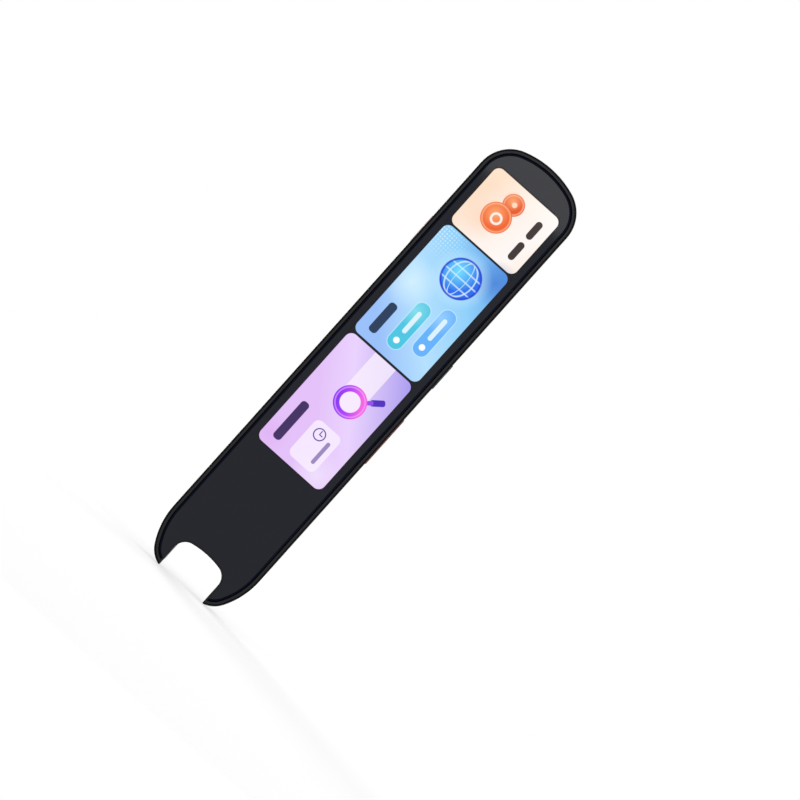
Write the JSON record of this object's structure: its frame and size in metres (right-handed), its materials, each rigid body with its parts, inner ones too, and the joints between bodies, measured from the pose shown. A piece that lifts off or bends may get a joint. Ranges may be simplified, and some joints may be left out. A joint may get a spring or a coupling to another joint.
{
  "type": "handheld translator",
  "caption": "Flat pen that scans text at its forked tip, shows it on a long screen and speaks it; three sprung side keys, speaker on the back.",
  "frame": {"origin": "centre of the pen's bounding box", "axes": "+Z along the pen from the scanning tip to the rounded top, -Y out of the screen, +Y out of the back, +X to the reader's right when the screen is seen with the top upward"},
  "size_m": [0.0336, 0.0126, 0.16],
  "materials": {
    "shell_blue": "satin metallic lacquer",
    "rim_black": "satin black",
    "cover": "gloss, black print round the screen",
    "screen": "lit",
    "grille_dark": "fine matt",
    "nose_dark": "satin",
    "window_smoke": "gloss",
    "key_red": "satin",
    "key_blue": "satin metallic lacquer",
    "adhesive": "matt",
    "foam": "matt",
    "steel": "satin",
    "ribbon": "satin amber",
    "board": "solder mask",
    "chip": "matt",
    "socket": "matt ivory",
    "cell": "foil pouch",
    "wire": "satin",
    "lens": "coated",
    "lamp": "clear cap",
    "cone": "matt paper",
    "magnet": "plated",
    "mesh": "woven black",
    "brass_gold": "gold plate",
    "boot": "matt"
  },
  "bodies": {
    "housing": {"rear_shell": "shell_blue", "front_frame": "rim_black", "cover_glass": "cover", "display_panel": "screen", "speaker_panel": "grille_dark", "tip_nose": "nose_dark", "scan_window": "window_smoke", "glass_adhesive": "adhesive", "display_tray": "steel", "display_foam": "foam", "display_flex": "ribbon", "speaker_mesh": "mesh", "speaker_gasket": "foam", "speaker_box": "chip", "speaker_cone": "cone", "speaker_magnet": "magnet", "speaker_contacts": "brass_gold", "camera_bracket": "chip", "camera_module": "chip", "camera_lens": "lens", "camera_flex": "ribbon", "light_board": "board", "scan_lights": "lamp", "mainboard": "board", "board_chips": "chip", "shield_cans": "steel", "board_sockets": "socket", "battery": "cell", "battery_tape": "adhesive", "battery_foam": "foam", "battery_guard_board": "board", "battery_leads": "wire", "charge_board": "board", "charge_port_shell": "steel", "charge_port_tongue": "chip", "link_flex": "ribbon", "microphones": "steel", "microphone_boots": "boot", "antenna": "ribbon", "power_key_flex": "ribbon", "side_key_flex": "ribbon", "key_switches": "steel", "board_screws": "steel"},
    "power_key": {"power_key": "key_red"},
    "mode_key": {"mode_key": "key_blue"},
    "talk_key": {"talk_key": "key_red"}
  },
  "joints": [
    {"name": "power_press", "type": "slide", "parent": "housing", "child": "power_key", "axis": [1, 0, 0], "range_m": [0, 0.0003], "stiffness_N_per_m": 1500, "springref_m": -0.0003},
    {"name": "mode_press", "type": "slide", "parent": "housing", "child": "mode_key", "axis": [-1, 0, 0], "range_m": [0, 0.0003], "stiffness_N_per_m": 1500, "springref_m": -0.0003},
    {"name": "talk_press", "type": "slide", "parent": "housing", "child": "talk_key", "axis": [-1, 0, 0], "range_m": [0, 0.0003], "stiffness_N_per_m": 1500, "springref_m": -0.0003}
  ]
}
